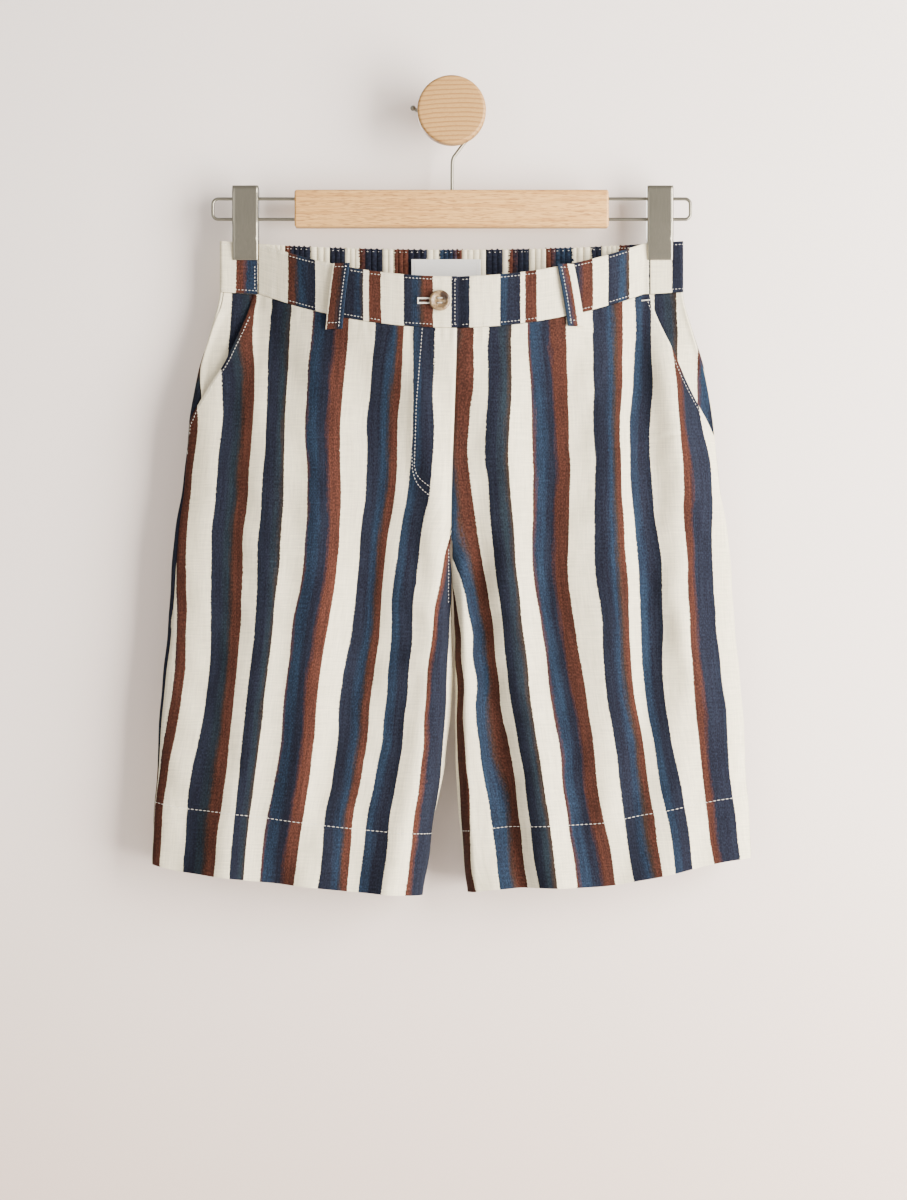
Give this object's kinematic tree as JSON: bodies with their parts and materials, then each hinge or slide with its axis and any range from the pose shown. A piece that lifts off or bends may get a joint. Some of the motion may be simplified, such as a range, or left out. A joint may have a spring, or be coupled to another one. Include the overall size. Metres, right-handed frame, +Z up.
{
  "type": "bermuda shorts on a clip hanger and wall peg",
  "caption": "Wide striped bermuda shorts with an elasticated back waist, slanted pockets and a buttoned fly, hung by clips from a wooden hanger on a round wall peg.",
  "frame": {"origin": "centre of the peg's flat back face, on the wall", "axes": "+Z up, +Y into the wall, so the front of the shorts faces -Y, +X to the right as seen from the front"},
  "size_m": [0.4899, 0.0616, 0.668],
  "materials": {
    "striped_linen": "matte linen blend, printed with uneven navy, blue and rust stripes on cream",
    "label_weave": "smooth white woven tape, blank",
    "horn": "polished horn look, tan with a dark brown patch",
    "beech": "pale beech, satin clear coat",
    "satin_nickel": "satin nickel plate, softly brushed"
  },
  "bodies": {
    "root": {"front_right": "striped_linen", "front_left": "striped_linen", "back_right": "striped_linen", "back_left": "striped_linen", "pocket_facing_right": "striped_linen", "pocket_facing_left": "striped_linen", "waistband_front_right": "striped_linen", "waistband_front_left": "striped_linen", "waistband_back": "striped_linen", "belt_loop_front_right": "striped_linen", "belt_loop_front_left": "striped_linen", "belt_loop_back": "striped_linen", "waist_label": "label_weave", "waist_button": "horn", "hanger_bar": "beech", "wall_peg": "beech", "hanger_hook": "satin_nickel", "hanger_rail_right": "satin_nickel", "hanger_rail_left": "satin_nickel", "clip_right_front_jaw": "satin_nickel", "clip_right_back_jaw": "satin_nickel", "clip_right_spring": "satin_nickel", "clip_left_front_jaw": "satin_nickel", "clip_left_back_jaw": "satin_nickel", "clip_left_spring": "satin_nickel"}
  },
  "joints": []
}
